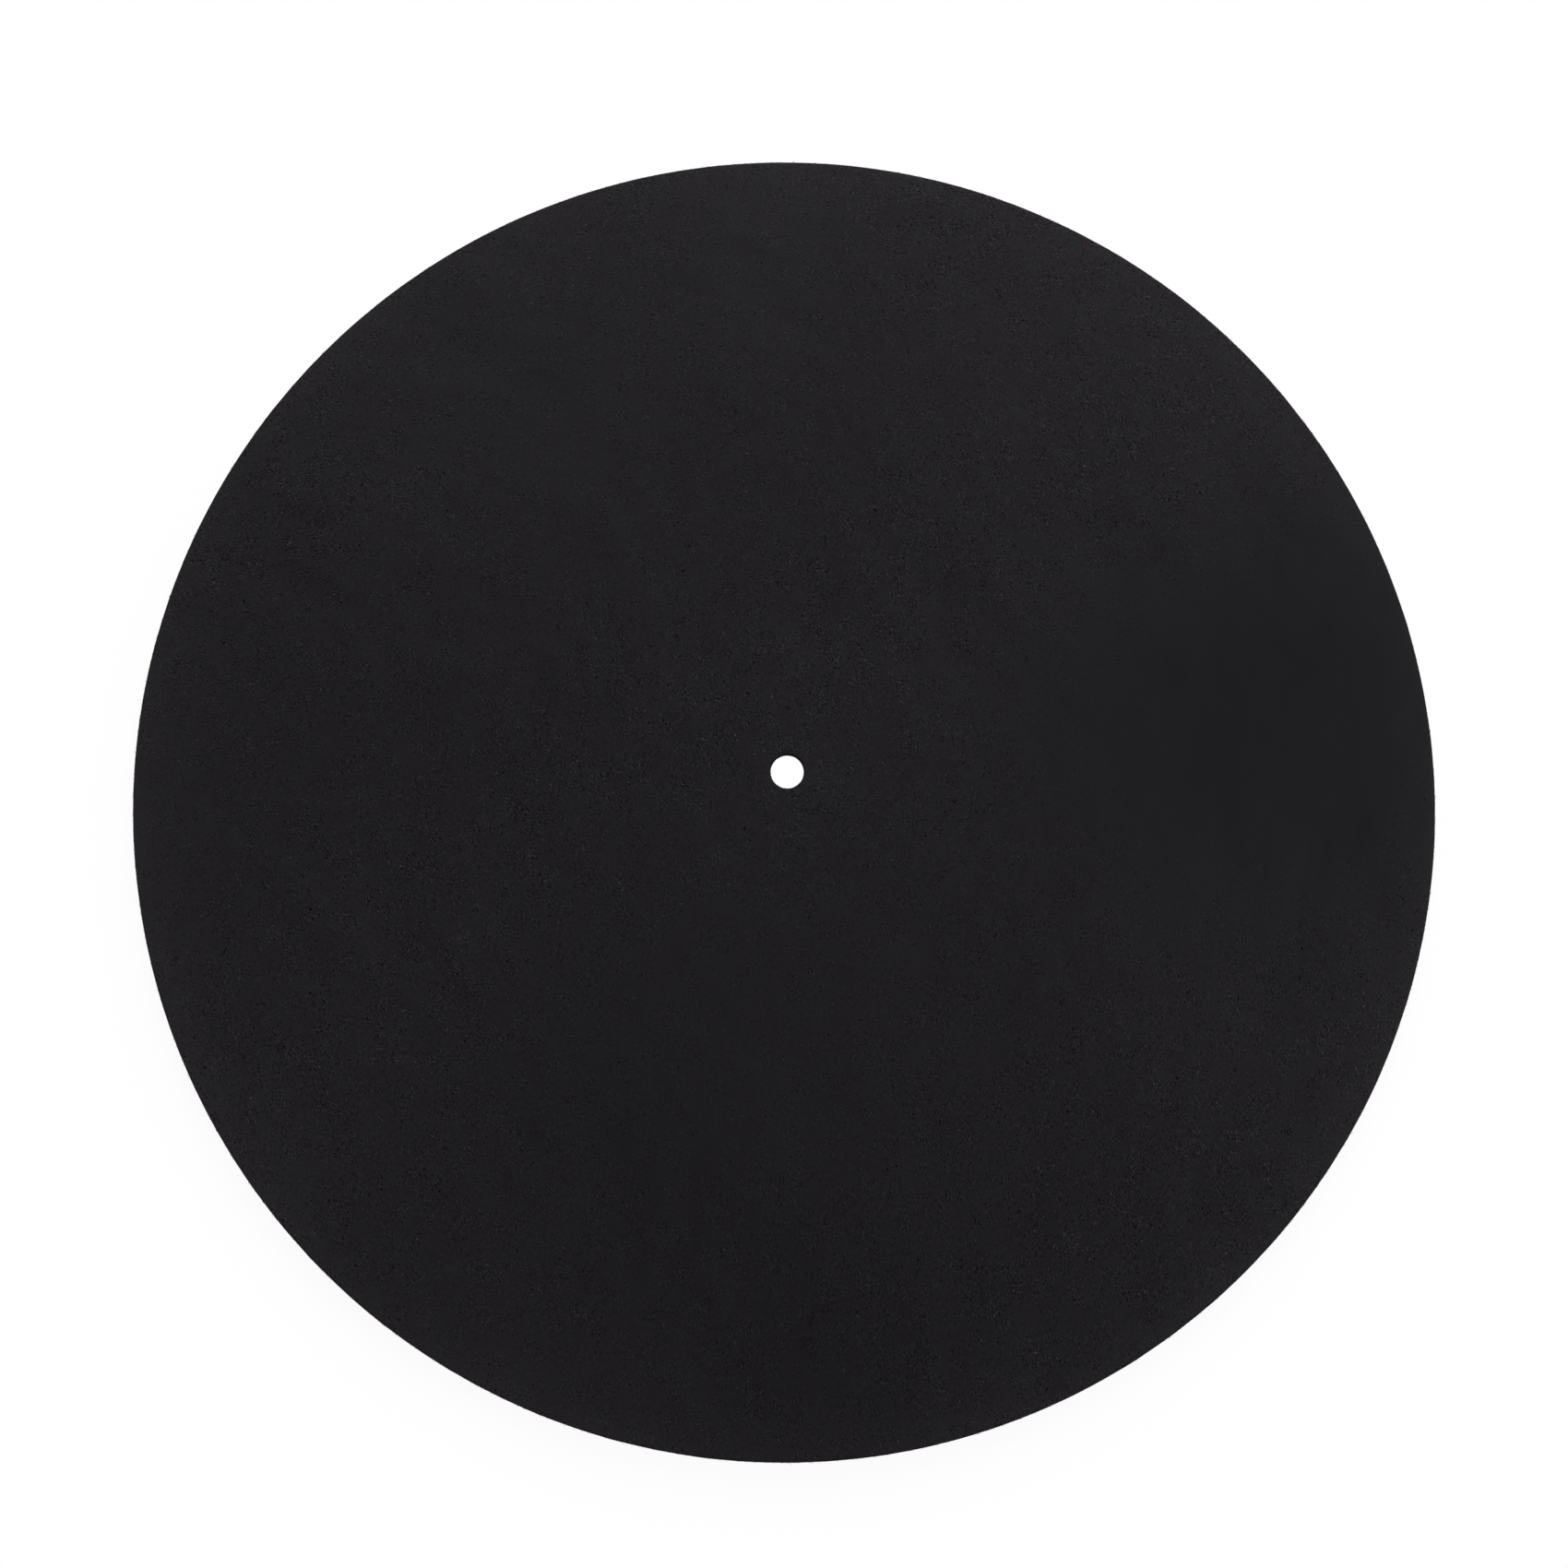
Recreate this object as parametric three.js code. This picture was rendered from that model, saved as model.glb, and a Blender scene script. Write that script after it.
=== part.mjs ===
// A round felt mat that lies on the platter of a record player, in millimetres, +Z up.
// The origin is the centre of the underside, so Z 0 is the face that lies on the platter and
// the record lies on the upper face.

import * as THREE from 'three';

// The mat covers a platter for twelve-inch records.
const MAT_DIAMETER = 300;
const FELT_THICKNESS = 3;

// The hole passes the player's centre spindle with a little play all round.
const SPINDLE_DIAMETER = 7.2;
const SPINDLE_PLAY = 0.275;
const HOLE_DIAMETER = SPINDLE_DIAMETER + 2 * SPINDLE_PLAY;

// The punch comes in through the upper face and draws its edges down further than it draws
// those of the underside.
const UPPER_EDGE_RADIUS = 0.6;
const LOWER_EDGE_RADIUS = 0.3;

// Each rounded edge gets twice its number of divisions in facets.
const FACETS_ROUND_THE_MAT = 160;
const EDGE_DIVISIONS = 2;

// Felt dyed through, near black, with a trace of violet.
const blackFelt = new THREE.MeshStandardMaterial({ color: 0x201f21, roughness: 0.95, metalness: 0 });

// The section of the ring at one side of its axis, anticlockwise: X is the distance from the
// axis, Y the height. Each arc is one rounded edge, and a straight line joins it to the next.
function ringSection() {
  const rim = MAT_DIAMETER / 2;
  const bore = HOLE_DIAMETER / 2;
  const upperCentre = FELT_THICKNESS - UPPER_EDGE_RADIUS;
  const quarter = Math.PI / 2;
  const section = new THREE.Path();
  section.absarc(rim - LOWER_EDGE_RADIUS, LOWER_EDGE_RADIUS, LOWER_EDGE_RADIUS, -quarter, 0);
  section.absarc(rim - UPPER_EDGE_RADIUS, upperCentre, UPPER_EDGE_RADIUS, 0, quarter);
  section.absarc(bore + UPPER_EDGE_RADIUS, upperCentre, UPPER_EDGE_RADIUS, quarter, 2 * quarter);
  section.absarc(bore + LOWER_EDGE_RADIUS, LOWER_EDGE_RADIUS, LOWER_EDGE_RADIUS, 2 * quarter, 3 * quarter);
  section.closePath();
  return section.getPoints(EDGE_DIVISIONS);
}

// The section turned once round the axis. A lathe turns round Y, and the quarter turn about X
// stands that axis up along Z.
function platterMat() {
  const ring = new THREE.LatheGeometry(ringSection(), FACETS_ROUND_THE_MAT);
  ring.rotateX(Math.PI / 2);
  const mat = new THREE.Mesh(ring, blackFelt);
  mat.name = 'platter_mat';
  return mat;
}

const turntableMat = new THREE.Group();
turntableMat.add(platterMat());

export default turntableMat;
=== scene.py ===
import math
import random

import bmesh
import bpy
from mathutils import Matrix, Vector, noise


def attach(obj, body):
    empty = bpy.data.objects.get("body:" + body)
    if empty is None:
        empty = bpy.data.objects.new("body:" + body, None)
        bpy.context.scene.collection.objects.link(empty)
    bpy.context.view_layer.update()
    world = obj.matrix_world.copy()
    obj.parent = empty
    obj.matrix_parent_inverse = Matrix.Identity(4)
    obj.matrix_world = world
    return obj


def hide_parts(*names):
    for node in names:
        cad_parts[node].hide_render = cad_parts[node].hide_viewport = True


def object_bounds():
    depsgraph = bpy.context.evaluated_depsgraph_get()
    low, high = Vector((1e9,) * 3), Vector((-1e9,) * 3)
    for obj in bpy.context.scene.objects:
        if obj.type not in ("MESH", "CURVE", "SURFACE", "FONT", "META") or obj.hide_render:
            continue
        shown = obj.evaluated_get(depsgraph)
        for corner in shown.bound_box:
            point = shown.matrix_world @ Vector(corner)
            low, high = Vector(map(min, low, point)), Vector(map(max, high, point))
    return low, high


# A record player's felt mat, lying flat. Lengths are in metres; MM turns millimetres into them.
MM = 0.001

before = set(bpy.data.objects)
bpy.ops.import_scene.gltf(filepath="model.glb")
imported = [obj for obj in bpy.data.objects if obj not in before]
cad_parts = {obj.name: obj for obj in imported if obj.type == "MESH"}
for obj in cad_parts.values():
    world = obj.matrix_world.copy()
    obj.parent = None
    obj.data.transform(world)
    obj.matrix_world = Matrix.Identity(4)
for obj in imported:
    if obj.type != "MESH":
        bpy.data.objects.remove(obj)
cad_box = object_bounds()

# The mat's own sizes come from its solid.
FELT_THICKNESS = cad_box[1].z
MAT_RADIUS = cad_box[1].x
HOLE_RADIUS = min(math.hypot(v.co.x, v.co.y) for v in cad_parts["platter_mat"].data.vertices)
UPPER_EDGE_RADIUS = 0.6 * MM
LOWER_EDGE_RADIUS = 0.3 * MM


# Lay and wear of the nap

# How far below +X the fibres point, in degrees: at the middle, what each radius towards +X and
# towards the front adds, and how that last turn eases off.
LAY_AT_MIDDLE, LAY_ACROSS, LAY_DOWN, LAY_EASING = 62, 26, 36, 14

# Patches that were pressed or brushed differently, as the photo shows: x, y and reach in
# millimetres, the share of the nap that is left there, and the tone there, partly the felt's own
# and partly painted sheen.
NAP_PATCHES = (
    (128, 20, 50, 0.05, 0.89),
    (84, 14, 34, 0.3, 0.98),
    (104, -14, 34, 0.4, 1.0),
    (98, -58, 38, 0.95, 1.07),
    (104, 84, 26, 1.0, 1.06),
    (66, 104, 42, 1.5, 1.05),
    (4, 60, 36, 1.3, 0.955),
    (8, 20, 36, 0.95, 1.055),
    (-5, 125, 26, 0.5, 1.02),
    (-58, 96, 34, 0.5, 1.0),
    (-95, 30, 45, 1.3, 0.98),
    (-27, -64, 40, 0.62, 0.96),
    (-44, -88, 28, 1.0, 0.94),
    (-100, -66, 52, 1.1, 1.05),
    (-50, -122, 34, 1.3, 1.05),
    (-88, 84, 34, 0.85, 1.04),
    (2, -128, 40, 0.95, 0.93),
)
PATCH_EDGE = 3  # a higher power gives a patch a harder edge
PATCH_MARKS = ("nap_left", "tone_and_painted_sheen")


def lay_of_the_nap(x, y):
    """How far below +X most fibres point at a place on the face, in degrees. Takes numbers or Values."""
    across, down = x / MAT_RADIUS, y / -MAT_RADIUS
    return LAY_AT_MIDDLE + LAY_ACROSS * across + down * (LAY_DOWN - LAY_EASING * down)


def patch_marks(x, y):
    """Share of the nap the patches leave at a place on the face, and their tone, partly painted sheen."""
    nap_left, tone_and_painted_sheen = 1.0, 1.0
    for middle_x, middle_y, reach, nap_here, tone_and_sheen_here in NAP_PATCHES:
        apart = math.hypot(x / MM - middle_x, y / MM - middle_y)
        nearness = math.exp(-(apart / reach) ** PATCH_EDGE)
        nap_left *= 1 - (1 - nap_here) * nearness
        tone_and_painted_sheen *= 1 - (1 - tone_and_sheen_here) * nearness
    return nap_left, tone_and_painted_sheen


# Body of the mat

FACETS_ROUND_THE_MAT = 480
RINGS_ACROSS_THE_FACE = 108
RINGS_ACROSS_THE_UNDERSIDE = 24
ROWS_UP_THE_WALL = 4
FACETS_ROUND_AN_EDGE = 4
ROUND_PROFILE = 0.5
ANY_CORNER = math.radians(60)
SAME_HEIGHT = 0.01 * MM

# Unevenness of the pressed felt: how far it rises and falls, and over what length.
FACE_RELIEF = ((0.07 * MM, 46 * MM), (0.035 * MM, 13 * MM), (0.02 * MM, 5 * MM))
UNDERSIDE_RELIEF = 0.03 * MM
UNDERSIDE_RELIEF_LENGTH = 9 * MM
UNDERSIDE_LAYER = 1  # a layer of the noise that is far from the one the face uses
# The punch presses the face down next to each cut and leaves the wall slightly ragged.
PRESSED_DOWN = 0.04 * MM
PRESSED_BAND = 2.2 * MM
RAGGED_WALL = 0.05 * MM
RAGGED_LENGTH = 3.2 * MM
RAGGED_LAYER = 0.7 * MM


def to_nearest_cut(distance):
    """How far a place is from the rim or the hole, whichever is nearer, by its distance from the middle."""
    return max(0, min(MAT_RADIUS - distance, distance - HOLE_RADIUS))


def felt_relief(x, y):
    """Height of the upper face above its mean at a place."""
    rise = sum(depth * noise.noise(Vector((x, y, 0)) / length) for depth, length in FACE_RELIEF)
    return rise - PRESSED_DOWN * math.exp(-to_nearest_cut(math.hypot(x, y)) / PRESSED_BAND)


def corners_at(bm, height):
    """The corner edges of the ring that lie at one height."""
    return [
        e for e in bm.edges
        if e.calc_face_angle(0) > ANY_CORNER and all(abs(v.co.z - height) < SAME_HEIGHT for v in e.verts)
    ]


def wall_edges(bm):
    """The upright edges of the two punched walls, between their rounded edges."""
    return [e for e in bm.edges if abs(e.verts[0].co.z - e.verts[1].co.z) > FELT_THICKNESS / 2]


def punched_ring():
    """A ring of square section, spun once round, its edges rounded and its walls cut into rows."""
    bm = bmesh.new()
    inner, outer = HOLE_RADIUS, MAT_RADIUS
    corners = ((inner, 0), (outer, 0), (outer, FELT_THICKNESS), (inner, FELT_THICKNESS))
    section = [bm.verts.new((distance, 0, height)) for distance, height in corners]
    underside, _, face, _ = [bm.edges.new((section[n], section[(n + 1) % 4])) for n in range(4)]
    bmesh.ops.subdivide_edges(bm, edges=[face], cuts=RINGS_ACROSS_THE_FACE)
    bmesh.ops.subdivide_edges(bm, edges=[underside], cuts=RINGS_ACROSS_THE_UNDERSIDE)
    bmesh.ops.spin(
        bm, geom=bm.verts[:] + bm.edges[:], cent=(0, 0, 0), axis=(0, 0, 1),
        angle=2 * math.pi, steps=FACETS_ROUND_THE_MAT, use_merge=True,
    )
    bmesh.ops.recalc_face_normals(bm, faces=bm.faces)
    for height, radius in ((FELT_THICKNESS, UPPER_EDGE_RADIUS), (0, LOWER_EDGE_RADIUS)):
        bmesh.ops.bevel(
            bm, geom=corners_at(bm, height), offset=radius, segments=FACETS_ROUND_AN_EDGE,
            profile=ROUND_PROFILE, affect="EDGES", material=-1,
        )
    bmesh.ops.subdivide_edges(bm, edges=wall_edges(bm), cuts=ROWS_UP_THE_WALL)
    return bm


def roughen(bm):
    """Gives the ring the felt's unevenness and the walls their ragged cut."""
    for v in bm.verts:
        x, y, z = v.co
        distance = math.hypot(x, y)
        share = z / FELT_THICKNESS
        below = Vector((x, y, UNDERSIDE_LAYER)) / UNDERSIDE_RELIEF_LENGTH
        under = UNDERSIDE_RELIEF * (1 + noise.noise(below)) / 2
        v.co.z += share * felt_relief(x, y) + (1 - share) * under
        at_wall = max(0, 1 - to_nearest_cut(distance) / UPPER_EDGE_RADIUS)
        ragged = noise.noise(Vector((x / RAGGED_LENGTH, y / RAGGED_LENGTH, z / RAGGED_LAYER)))
        push = 1 + at_wall * RAGGED_WALL * ragged / distance
        v.co.x *= push
        v.co.y *= push


def object_from(bm, name, finish):
    """A shaded piece in the scene from a finished bmesh."""
    mesh = bpy.data.meshes.new(name)
    bm.to_mesh(mesh)
    bm.free()
    mesh.shade_smooth()
    mesh.materials.append(finish)
    piece = bpy.data.objects.new(name, mesh)
    bpy.context.scene.collection.objects.link(piece)
    return piece


def mark_patches(mesh):
    """Writes the patches on the mesh, point by point, where its finish reads them."""
    marks = zip(*(patch_marks(v.co.x, v.co.y) for v in mesh.vertices))
    for name, values in zip(PATCH_MARKS, marks):
        mesh.attributes.new(name, "FLOAT", "POINT").data.foreach_set("value", values)


def felt_mat(finish):
    bm = punched_ring()
    roughen(bm)
    bmesh.ops.recalc_face_normals(bm, faces=bm.faces)
    piece = object_from(bm, "felt_mat", finish)
    mark_patches(piece.data)
    return piece


# Loose wool fibres

FIBRE_THICKNESS = 0.07 * MM
FIBRE_SIDES = 3
FIBRE_STEPS = 2
FIBRE_KINDS = 8
FIBRE_TAPER = 0.75
FIBRE_BEND = (10, 38)  # degrees at each step

NAP_RINGS = 4
FIBRES_IN_A_RING = 13000
NAP_MARGIN = 0.5 * MM
NAP_LENGTH = (0.45, 1.05)  # millimetres
NAP_WAYS = (0, 180)  # degrees off the lay, since a fibre can lie either way along it
NAP_SCATTER = 30  # degrees, the spread about that
NAP_ROLL = (-90, 45)  # degrees, mean and spread; at -90 a fibre stands as an arch
CLUMP_LENGTH = 4.5 * MM
CLUMP_MEAN, CLUMP_SWING = 0.55, 0.6
THINNING = 2  # power of the share of the nap that is left, so the loose fibres thin out faster

RIM_FIBRES = 3600
HOLE_FIBRES = 90
FUZZ_LOWEST, FUZZ_HIGHEST = 0.55 * MM, FELT_THICKNESS - UPPER_EDGE_RADIUS / 2
FUZZ_LENGTH = (0.4, 0.75)  # millimetres
FUZZ_OFF_WALL = 12  # degrees off the wall, at most
FUZZ_LEAN = 35  # degrees off level, at most
FUZZ_ROLL = 40  # degrees, the spread about the roll that bends a fibre back to its wall
SEED = 12


def wool_fibre(chance):
    """A fibre's mesh, a millimetre long from the origin along +X. It bends sideways and thins to its tip."""
    bm = bmesh.new()
    upright = Matrix.Rotation(math.pi / 2, 4, "Y")
    bmesh.ops.create_circle(
        bm, cap_ends=True, segments=FIBRE_SIDES, radius=FIBRE_THICKNESS / 2, matrix=upright,
    )
    end, = bm.faces
    bend = math.radians(chance.uniform(*FIBRE_BEND))
    heading = -bend / 2
    step = MM / FIBRE_STEPS
    for _ in range(FIBRE_STEPS):
        grown = bmesh.ops.extrude_face_region(bm, geom=[end, *end.edges])["geom"]
        end, = (g for g in grown if isinstance(g, bmesh.types.BMFace))
        tip = end.verts[:]
        bmesh.ops.translate(bm, verts=tip, vec=(step * math.cos(heading), step * math.sin(heading), 0))
        middle = end.calc_center_median()
        bmesh.ops.rotate(bm, verts=tip, cent=middle, matrix=Matrix.Rotation(bend, 3, "Z"))
        bmesh.ops.scale(bm, verts=tip, vec=(FIBRE_TAPER,) * 3, space=Matrix.Translation(-middle))
        heading += bend
    bmesh.ops.recalc_face_normals(bm, faces=bm.faces)
    mesh = bpy.data.meshes.new("wool_fibre")
    bm.to_mesh(mesh)
    bm.free()
    return mesh


def strew(name, finish, places, chance):
    """A piece made of many fibres, one at each place."""
    kinds = [wool_fibre(chance) for _ in range(FIBRE_KINDS)]
    shapes = [[c for v in kind.vertices for c in v.co] for kind in kinds]
    bm = bmesh.new()
    for place in places:
        pick = chance.randrange(FIBRE_KINDS)
        kinds[pick].vertices.foreach_set("co", shapes[pick])
        kinds[pick].transform(place)
        bm.from_mesh(kinds[pick])
    for kind in kinds:
        bpy.data.meshes.remove(kind)
    return object_from(bm, name, finish)


def share_of_fibres(x, y):
    """Share of the fibres that stay at a place on the face: they come in clumps, and follow the patches."""
    clump = CLUMP_MEAN + CLUMP_SWING * noise.noise(Vector((x, y, 0)) / CLUMP_LENGTH)
    nap_left, _ = patch_marks(x, y)
    return clump * nap_left ** THINNING


def napped(inner, outer, chance):
    """Places of fibres that lie on the upper face between two distances from the middle."""
    count = FIBRES_IN_A_RING
    while count:
        distance = math.sqrt(chance.uniform(inner * inner, outer * outer))
        around = chance.uniform(0, 2 * math.pi)
        x, y = distance * math.cos(around), distance * math.sin(around)
        lay = chance.gauss(0, NAP_SCATTER) - lay_of_the_nap(x, y) + chance.choice(NAP_WAYS)
        heading = math.radians(lay)
        length = chance.uniform(*NAP_LENGTH)
        tip = math.hypot(x + length * MM * math.cos(heading), y + length * MM * math.sin(heading))
        stays = chance.random() < share_of_fibres(x, y)
        if not stays or not HOLE_RADIUS < tip < MAT_RADIUS - FIBRE_THICKNESS:
            continue
        count -= 1
        roll = math.radians(chance.gauss(*NAP_ROLL))
        root = Matrix.Translation((x, y, FELT_THICKNESS + felt_relief(x, y)))
        turn = Matrix.Rotation(heading, 4, "Z") @ Matrix.Rotation(roll, 4, "X")
        yield root @ turn @ Matrix.Diagonal((length, length, 1, 1))


def fringed(count, radius, outwards, chance):
    """Places of short fibres a little off a punched wall. Outwards is 1 at the rim and -1 in the hole."""
    bent_back = 0 if outwards > 0 else 180
    for _ in range(count):
        around = chance.uniform(0, 2 * math.pi)
        height = chance.uniform(FUZZ_LOWEST, FUZZ_HIGHEST)
        root = Matrix.Rotation(around, 4, "Z") @ Matrix.Translation((radius, 0, height))
        off_wall = outwards * math.radians(chance.uniform(0, FUZZ_OFF_WALL))
        along = Matrix.Rotation(math.pi / 2 - off_wall, 4, "Z")
        lean = Matrix.Rotation(math.radians(chance.uniform(-FUZZ_LEAN, FUZZ_LEAN)), 4, "X")
        roll = Matrix.Rotation(math.radians(chance.gauss(bent_back, FUZZ_ROLL)), 4, "X")
        length = chance.uniform(*FUZZ_LENGTH)
        yield root @ lean @ along @ roll @ Matrix.Diagonal((length, length, 1, 1))


def loose_fibres(finish):
    """All the loose wool: the nap, in rings of equal area, and the fuzz of the two walls."""
    chance = random.Random(SEED)
    limits = [MAT_RADIUS * math.sqrt(n / NAP_RINGS) for n in range(NAP_RINGS + 1)]
    limits[0] = HOLE_RADIUS + NAP_MARGIN
    limits[-1] -= NAP_MARGIN
    pieces = [
        strew(f"nap_ring_{n + 1}", finish, napped(limits[n], limits[n + 1], chance), chance)
        for n in range(NAP_RINGS)
    ]
    pieces.append(strew("rim_fuzz", finish, fringed(RIM_FIBRES, MAT_RADIUS, 1, chance), chance))
    pieces.append(strew("hole_fuzz", finish, fringed(HOLE_FIBRES, HOLE_RADIUS, -1, chance), chance))
    return pieces


# Finishes

NOISE_MEAN = 0.5


class Value:
    """An output of a finish's node, with arithmetic. An operator on numbers adds its Math node."""

    def __init__(self, recipe, socket):
        self.recipe = recipe
        self.socket = socket

    def reckon(self, operation, *terms):
        return self.recipe.node("ShaderNodeMath", {"operation": operation}, dict(enumerate(terms)))

    def __add__(self, other):
        return self.reckon("ADD", self, other)

    __radd__ = __add__

    def __mul__(self, other):
        return self.reckon("MULTIPLY", self, other)

    __rmul__ = __mul__

    def __sub__(self, other):
        return self.reckon("SUBTRACT", self, other)

    def __rsub__(self, other):
        return self.reckon("SUBTRACT", other, self)

    def __truediv__(self, other):
        return self.reckon("DIVIDE", self, other)

    def __pow__(self, other):
        return self.reckon("POWER", self, other)

    def __rpow__(self, other):
        return self.reckon("POWER", other, self)

    def at_least(self, other):
        return self.reckon("MAXIMUM", self, other)


class Recipe:
    """The nodes of one finish, or of the world."""

    def __init__(self, tree):
        self.tree = tree
        tree.nodes.clear()

    def node(self, kind, settings=None, sockets=None, out=0):
        """Adds a node with its settings, then with values or links at its sockets, and gives an output."""
        made = self.tree.nodes.new(kind)
        for name, setting in (settings or {}).items():
            setattr(made, name, setting)
        for name, value in (sockets or {}).items():
            if isinstance(value, Value):
                self.tree.links.new(value.socket, made.inputs[name])
            else:
                made.inputs[name].default_value = value
        return Value(self, made.outputs[out]) if made.outputs else None

    def ramp(self, value, start, end, low=0.0, high=1.0):
        """Low at start and before, high at end and after, with a smooth turn between."""
        limits = {"Value": value, "From Min": start, "From Max": end, "To Min": low, "To Max": high}
        return self.node("ShaderNodeMapRange", {"interpolation_type": "SMOOTHSTEP"}, limits)

    def grain(self, place, size, detail=2.0, roughness=0.5):
        """Noise from -0.5 to 0.5 whose lumps are about size across."""
        sockets = {"Vector": place, "Scale": 1 / size, "Detail": detail, "Roughness": roughness}
        return self.node("ShaderNodeTexNoise", {}, sockets) - NOISE_MEAN


def new_finish(name):
    material = bpy.data.materials.new(name)
    material.use_nodes = True
    return material, Recipe(material.node_tree)


# The tangle of fibres in the felt: threads along the nap and fuzz between them, both curling.
THREAD_LENGTH, THREAD_WIDTH = 0.7 * MM, 0.2 * MM
FUZZ_SIZE = 0.29 * MM
CURL_REACH, CURL_SIZE = 0.5 * MM, 1.3 * MM
THREAD_SHARE, FUZZ_SHARE = 1.2, 0.78
EVEN_PART, STRONG_PART = 0.3, 20.0
TANGLE_CONTRAST = 0.87
TANGLE_DEPTH = 0.03 * MM
# How strongly the tangle shows, over broad patches and over small clumps.
PATCH_SIZE, PATCH_RAISED = 26 * MM, (0.72, 0.97)
CLUMP_SIZE, CLUMP_RAISED = 4.5 * MM, (0.3, 1.6)
MIDDLE_OF_NOISE = (-0.2, 0.2)
# Soft lighter and darker places: brushed bands along the nap, and clouds.
BAND_LENGTH, BAND_WIDTH, BAND_DETAIL, BAND_CONTRAST = 26 * MM, 7 * MM, 1.0, 0.28
BAND_CURL_REACH, BAND_CURL_SIZE = 8 * MM, 25 * MM
CLOUD_SIZE, CLOUD_ROUGHNESS, CLOUD_CONTRAST = 5 * MM, 0.6, 0.13
# The cut wool at the rim and the hole: how much lighter it is, and how far in that fades. The front
# of the rim also has painted bounce light, lighter towards the front.
RIM_LIGHTER, FRONT_OF_RIM_PAINTED_BOUNCE, RIM_FADE = 0.30, 0.08, 6.5 * MM
HOLE_LIGHTER, HOLE_FADE = 0.12, 1.5 * MM
DARKEST_SHADE = 0.25
# Dye: a little warmer where the nap stands, in small spots, and neutral where it is rubbed away.
WARM_DYE = (0.0156, 0.0135, 0.0154, 1)
NEUTRAL_DYE = (0.0142, 0.0141, 0.0156, 1)
DYE_SPOT_SIZE, DYE_SPOT_DETAIL, DYE_SPOT_ROUGHNESS = 5 * MM, 3.0, 0.6
DYE_SPOT_EDGE = (-0.12, 0.12)
# The loose fibres' colour is lighter than the felt's as a painted glint.
LOOSE_WOOL_COLOUR_WITH_GLINT = (0.0266, 0.0246, 0.0278)
LOOSE_WOOL_SPOT_SIZE = 1.6 * MM
# Surface: the felt has no gloss, and a single fibre has a trace of it.
FELT_ROUGHNESS, FELT_GLOSS, FELT_SHEEN, FELT_SHEEN_ROUGHNESS = 0.95, 0.0, 0.014, 0.4
LOOSE_WOOL_ROUGHNESS, LOOSE_WOOL_GLOSS, LOOSE_WOOL_SHEEN = 0.7, 0.04, 0.03
# Directions of the streaks along the nap, in degrees below +X.
LEVEL_LAY, SLANTED_LAY, UPRIGHT_LAY = 22, 57, 92


def curled(recipe, place, reach, size):
    """The place pushed about by noise, so that straight streaks laid on it curl like wool."""
    sockets = {"Vector": place, "Scale": 1 / size, "Detail": 0.0}
    push = recipe.node("ShaderNodeTexNoise", {}, sockets, out="Color")
    middle = (NOISE_MEAN,) * 3
    centred = recipe.node("ShaderNodeVectorMath", {"operation": "SUBTRACT"}, {0: push, 1: middle})
    scaled = recipe.node("ShaderNodeVectorMath", {"operation": "SCALE"}, {"Vector": centred, "Scale": reach})
    return recipe.node("ShaderNodeVectorMath", {"operation": "ADD"}, {0: place, 1: scaled})


def shares_of_lay(recipe, x, y):
    """The directions that streaks can run in, each with its share at a place on the face."""
    below = lay_of_the_nap(x, y)
    level = recipe.ramp(below, LEVEL_LAY, SLANTED_LAY, 1.0, 0.0)
    upright = recipe.ramp(below, SLANTED_LAY, UPRIGHT_LAY)
    return (LEVEL_LAY, level), (SLANTED_LAY, 1 - level - upright), (UPRIGHT_LAY, upright)


def streaks(recipe, place, lay, length, width, detail=0.0):
    """Streaks of noise, -0.5 to 0.5, of a length and width, that run the way the nap lies at each place."""
    threads = 0
    for below, share in lay:
        laid = recipe.node(
            "ShaderNodeMapping", {"vector_type": "TEXTURE"},
            {"Vector": place, "Rotation": (0, 0, -math.radians(below)), "Scale": (length, width, width)},
        )
        threads = recipe.grain(laid, 1.0, detail=detail) * share + threads
    return threads


def tangled_wool(recipe, place, lay):
    """The fine fibres, about 0: mostly faint, with a few that stand out."""
    wool = curled(recipe, place, CURL_REACH, CURL_SIZE)
    threads = streaks(recipe, wool, lay, THREAD_LENGTH, THREAD_WIDTH)
    mixed = threads * THREAD_SHARE + recipe.grain(wool, FUZZ_SIZE, detail=0.0) * FUZZ_SHARE
    return mixed * (EVEN_PART + STRONG_PART * mixed * mixed)


def raised_nap(recipe, place):
    """How strongly the fibres show at a place, before wear."""
    broad = recipe.ramp(recipe.grain(place, PATCH_SIZE), *MIDDLE_OF_NOISE, *PATCH_RAISED)
    return broad * recipe.ramp(recipe.grain(place, CLUMP_SIZE), *MIDDLE_OF_NOISE, *CLUMP_RAISED)


def soft_shades(recipe, place, lay):
    """The brushed bands and the clouds, about 0."""
    brushed = curled(recipe, place, BAND_CURL_REACH, BAND_CURL_SIZE)
    bands = streaks(recipe, brushed, lay, BAND_LENGTH, BAND_WIDTH, detail=BAND_DETAIL)
    clouds = recipe.grain(place, CLOUD_SIZE, roughness=CLOUD_ROUGHNESS)
    return bands * BAND_CONTRAST + clouds * CLOUD_CONTRAST


def cut_wool_and_painted_bounce(x, y):
    """How much lighter the felt is next to its cuts, with painted bounce light at the rim's front."""
    distance = (x * x + y * y) ** 0.5
    at_rim = math.e ** ((distance - MAT_RADIUS) / RIM_FADE)
    at_hole = math.e ** ((HOLE_RADIUS - distance) / HOLE_FADE)
    # Painted bounce light: the rim grows lighter towards the front (-Y).
    return (RIM_LIGHTER + y * (FRONT_OF_RIM_PAINTED_BOUNCE / -MAT_RADIUS)) * at_rim + HOLE_LIGHTER * at_hole


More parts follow.
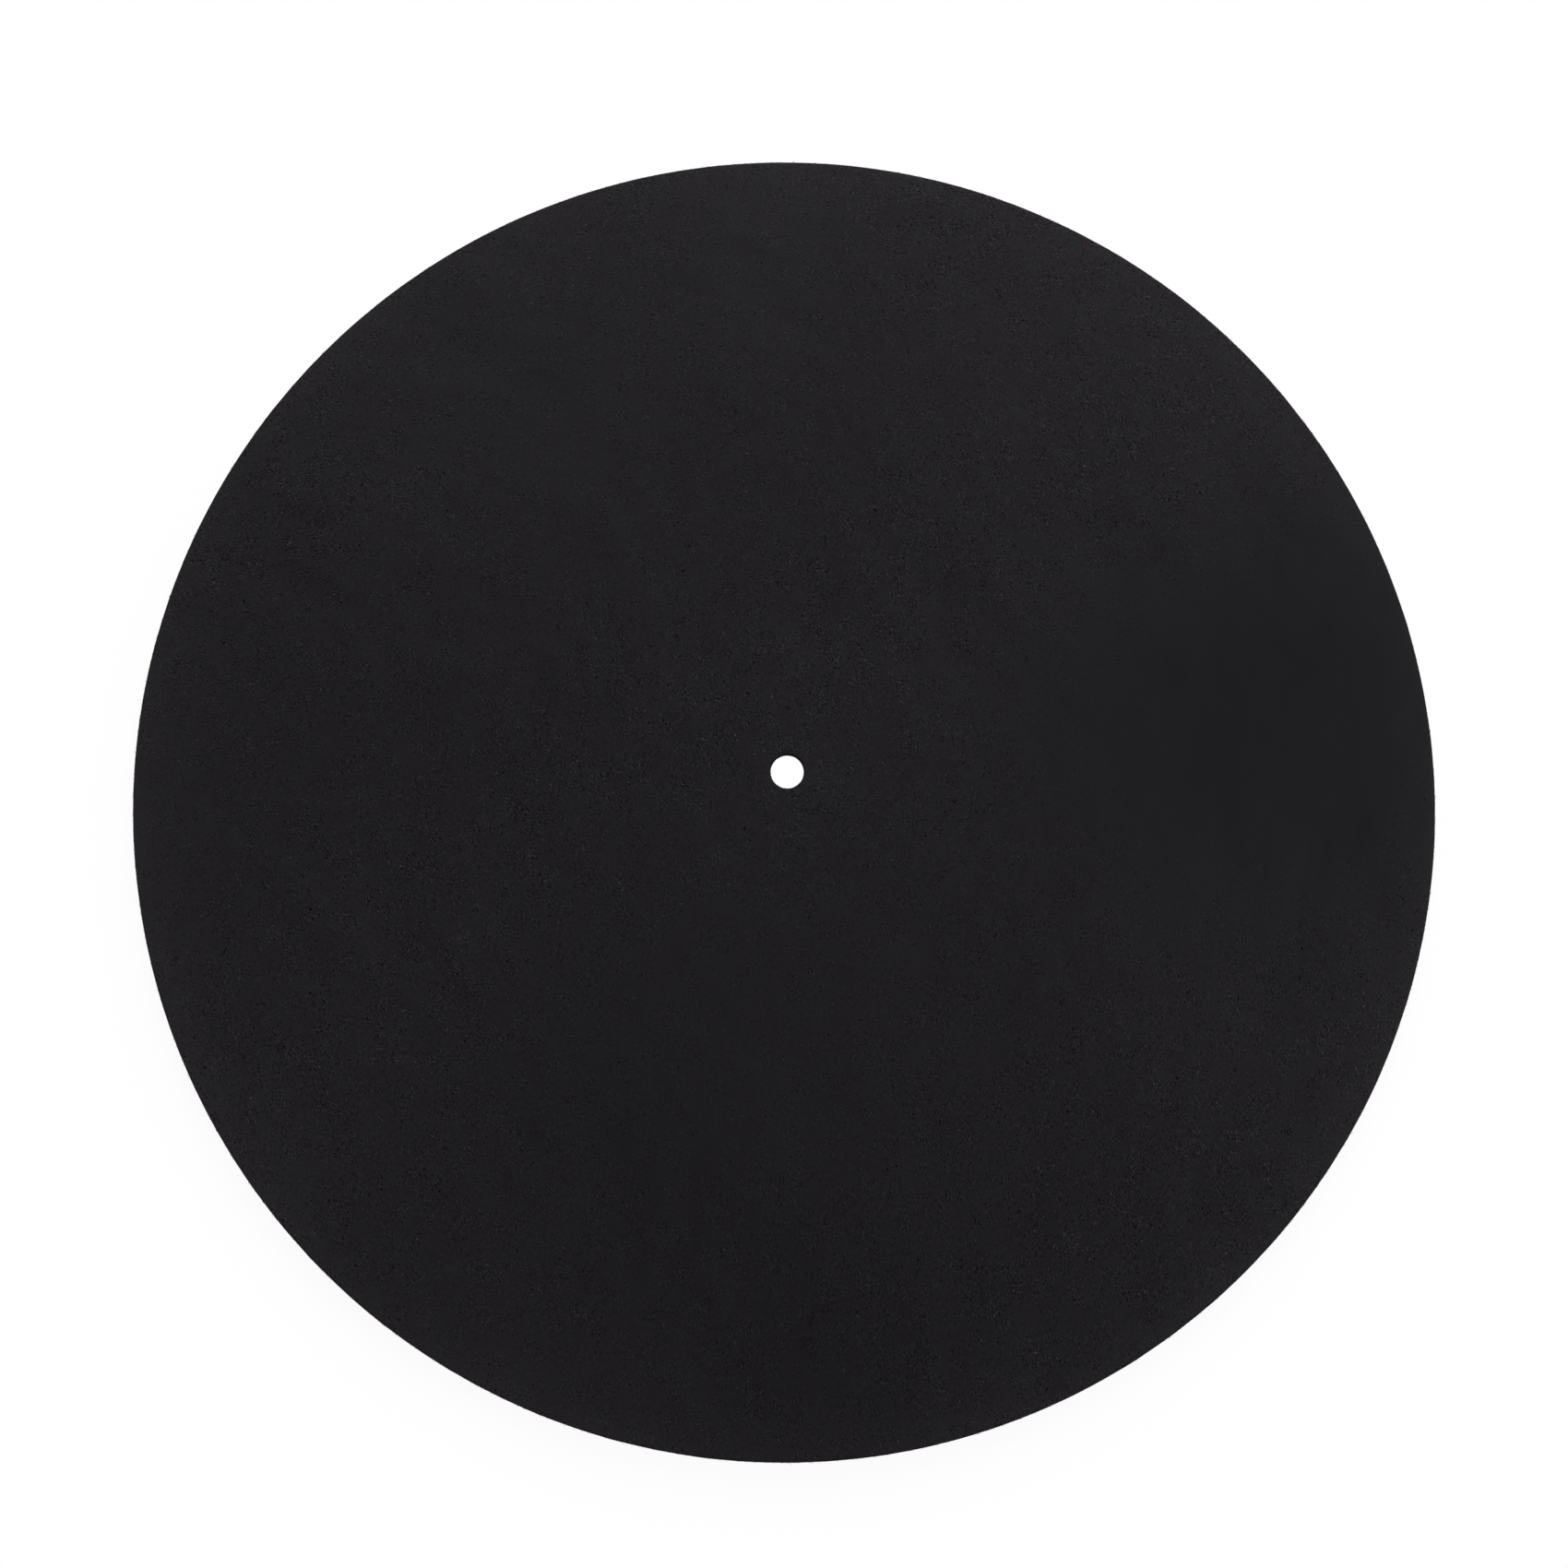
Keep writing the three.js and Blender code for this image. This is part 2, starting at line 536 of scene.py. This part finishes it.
def dyed(recipe, place, nap_left, shade):
    """The felt's colour at a shade."""
    mottled = recipe.grain(place, DYE_SPOT_SIZE, detail=DYE_SPOT_DETAIL, roughness=DYE_SPOT_ROUGHNESS)
    neutral = 1 - (1 - recipe.ramp(mottled, *DYE_SPOT_EDGE)) * nap_left
    # A Mix node takes colours at its sockets 6 and 7, and gives one at its output 2.
    sockets = {0: neutral, 6: WARM_DYE, 7: NEUTRAL_DYE}
    dye = recipe.node("ShaderNodeMix", {"data_type": "RGBA"}, sockets, out=2)
    return recipe.node("ShaderNodeVectorMath", {"operation": "SCALE"}, {"Vector": dye, "Scale": shade})


def black_felt():
    """Pressed wool dyed black: a tangle of fine fibres in cloudy patches, a little greyer where it is cut.
    Its patches hold painted sheen, and the front of its rim painted bounce light.
    """
    material, recipe = new_finish("black_felt")
    place = recipe.node("ShaderNodeTexCoord", out="Object")
    x, y = (recipe.node("ShaderNodeSeparateXYZ", sockets={"Vector": place}, out=axis) for axis in "XY")
    nap_left, tone_and_painted_sheen = (
        recipe.node("ShaderNodeAttribute", {"attribute_name": mark}, out="Fac") for mark in PATCH_MARKS
    )
    lay = shares_of_lay(recipe, x, y)
    raised = raised_nap(recipe, place) * nap_left
    tangle = tangled_wool(recipe, place, lay)
    # The cut term also holds painted bounce light at the front of the rim.
    grey = 1 + TANGLE_CONTRAST * tangle * raised + soft_shades(recipe, place, lay) + cut_wool_and_painted_bounce(x, y)
    # The patches' tone, partly painted sheen, scales the shade.
    colour = dyed(recipe, place, nap_left, (grey * tone_and_painted_sheen).at_least(DARKEST_SHADE))
    bump = recipe.node("ShaderNodeBump", {}, {"Strength": raised, "Distance": TANGLE_DEPTH, "Height": tangle})
    shader = recipe.node(
        "ShaderNodeBsdfPrincipled", {},
        {
            "Base Color": colour, "Normal": bump,
            "Roughness": FELT_ROUGHNESS, "Specular IOR Level": FELT_GLOSS,
            "Sheen Weight": FELT_SHEEN, "Sheen Roughness": FELT_SHEEN_ROUGHNESS,
        },
        out="BSDF",
    )
    recipe.node("ShaderNodeOutputMaterial", {}, {"Surface": shader})
    return material


def loose_wool():
    """Single fibres of the black wool, coloured lighter than the felt under them as a painted glint."""
    material, recipe = new_finish("loose_wool")
    place = recipe.node("ShaderNodeTexCoord", out="Object")
    shade = 1 + recipe.grain(place, LOOSE_WOOL_SPOT_SIZE)
    colour = recipe.node(
        "ShaderNodeVectorMath", {"operation": "SCALE"}, {"Vector": LOOSE_WOOL_COLOUR_WITH_GLINT, "Scale": shade},
    )
    shader = recipe.node(
        "ShaderNodeBsdfPrincipled", {},
        {
            "Base Color": colour, "Roughness": LOOSE_WOOL_ROUGHNESS,
            "Specular IOR Level": LOOSE_WOOL_GLOSS, "Sheen Weight": LOOSE_WOOL_SHEEN,
        },
        out="BSDF",
    )
    recipe.node("ShaderNodeOutputMaterial", {}, {"Surface": shader})
    return material


# Stage

FLOOR_HALF_WIDTH = 3.0
FLOOR_DROP = 0.1 * MM
PAPER_COLOUR = (0.95, 0.95, 0.95, 1)
WHITE = (1, 1, 1, 1)

# The paper shows its shadow only round the rim: where that starts, is full and ends, and how much
# of it shows.
SHADOW_STARTS, SHADOW_FULL = MAT_RADIUS - 40 * MM, MAT_RADIUS - 5 * MM
SHADOW_ENDS = MAT_RADIUS + 24 * MM
SHADOW_SHOWN = 0.07

ROOM_STRENGTH = 0.3
LAMPS = (  # name, place, size and watts
    ("window", (0.05, 0.45, 0.27), (0.5, 0.25), 3.0),
    ("left_reflector", (-0.45, -0.15, 0.15), (0.25, 0.15), 0.7),
    ("right_reflector", (0.45, -0.15, 0.15), (0.25, 0.15), 1.04),
)


def seen_directly(recipe):
    """1 for a ray that sees, straight or off a gloss or through glass, and 0 for one that only lights."""
    straight, glossy, through = (
        recipe.node("ShaderNodeLightPath", out=f"Is {kind} Ray")
        for kind in ("Camera", "Glossy", "Transmission")
    )
    return straight.at_least(glossy).at_least(through)


def white_paper():
    """Shows as pure white, apart from the soft shadow close round the mat."""
    material, recipe = new_finish("white_paper")
    place = recipe.node("ShaderNodeTexCoord", out="Object")
    distance = recipe.node("ShaderNodeVectorMath", {"operation": "LENGTH"}, {0: place}, out="Value")
    under_rim = recipe.ramp(distance, SHADOW_STARTS, SHADOW_FULL, 0.0, SHADOW_SHOWN)
    shown = under_rim * recipe.ramp(distance, MAT_RADIUS, SHADOW_ENDS, 1.0, 0.0)
    lit = recipe.node("ShaderNodeBsdfDiffuse", {}, {"Color": PAPER_COLOUR})
    white = recipe.node("ShaderNodeEmission", {}, {"Color": WHITE, "Strength": 1.0})
    share = seen_directly(recipe) * (1 - shown)
    mixed = recipe.node("ShaderNodeMixShader", {}, {0: share, 1: lit, 2: white})
    recipe.node("ShaderNodeOutputMaterial", {}, {"Surface": mixed})
    return material


def floor():
    bm = bmesh.new()
    level = Matrix.Translation((0, 0, -FLOOR_DROP))
    bmesh.ops.create_grid(bm, x_segments=1, y_segments=1, size=FLOOR_HALF_WIDTH, matrix=level)
    object_from(bm, "floor", white_paper())


def room_light():
    """An even pale room, which shows as white."""
    world = bpy.data.worlds.new("room")
    world.use_nodes = True
    bpy.context.scene.world = world
    recipe = Recipe(world.node_tree)
    strength = ROOM_STRENGTH + (1 - ROOM_STRENGTH) * seen_directly(recipe)
    shader = recipe.node("ShaderNodeBackground", {}, {"Color": WHITE, "Strength": strength})
    recipe.node("ShaderNodeOutputWorld", {}, {"Surface": shader})


def lamp(name, place, size, watts):
    """A soft rectangular lamp that faces the mat's middle."""
    light = bpy.data.lights.new(name, "AREA")
    light.shape = "RECTANGLE"
    light.size, light.size_y = size
    light.energy = watts
    stand = bpy.data.objects.new(name, light)
    stand.location = place
    stand.rotation_euler = (-Vector(place)).to_track_quat("-Z", "Y").to_euler()
    stand.visible_camera = False
    bpy.context.scene.collection.objects.link(stand)


# Camera: close over the mat and a little in front of its middle, looking just past it.
CAMERA_PLACE = Vector((-4.4, -30.88, 331.87)) * MM
LOOKED_AT = Vector((-0.76, 15.32, 3.0)) * MM
SENSOR_WIDTH, LENS_LENGTH = 36, 32.87  # millimetres
LENS_SHIFT = -0.05
NEAREST_SEEN = 10 * MM


def camera():
    seen = bpy.data.cameras.new("camera")
    seen.sensor_width = SENSOR_WIDTH
    seen.lens = LENS_LENGTH
    seen.shift_y = LENS_SHIFT
    seen.clip_start = NEAREST_SEEN
    body = bpy.data.objects.new("camera", seen)
    back = (CAMERA_PLACE - LOOKED_AT).normalized()
    right = Vector((0, 1, 0)).cross(back).normalized()
    turned = Matrix((right, back.cross(right), back)).transposed()
    body.matrix_world = Matrix.Translation(CAMERA_PLACE) @ turned.to_4x4()
    bpy.context.scene.collection.objects.link(body)
    bpy.context.scene.camera = body


def mat():
    """The mat's pieces, which all ride on its one body: the felt, and the wool that stands loose on it."""
    felt = felt_mat(black_felt())
    fibres = loose_fibres(loose_wool())
    for piece in (felt, *fibres):
        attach(piece, "root")
    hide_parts("platter_mat")


camera()
room_light()
for fitting in LAMPS:
    lamp(*fitting)
floor()
mat()

bpy.context.scene.view_settings.view_transform = "Standard"
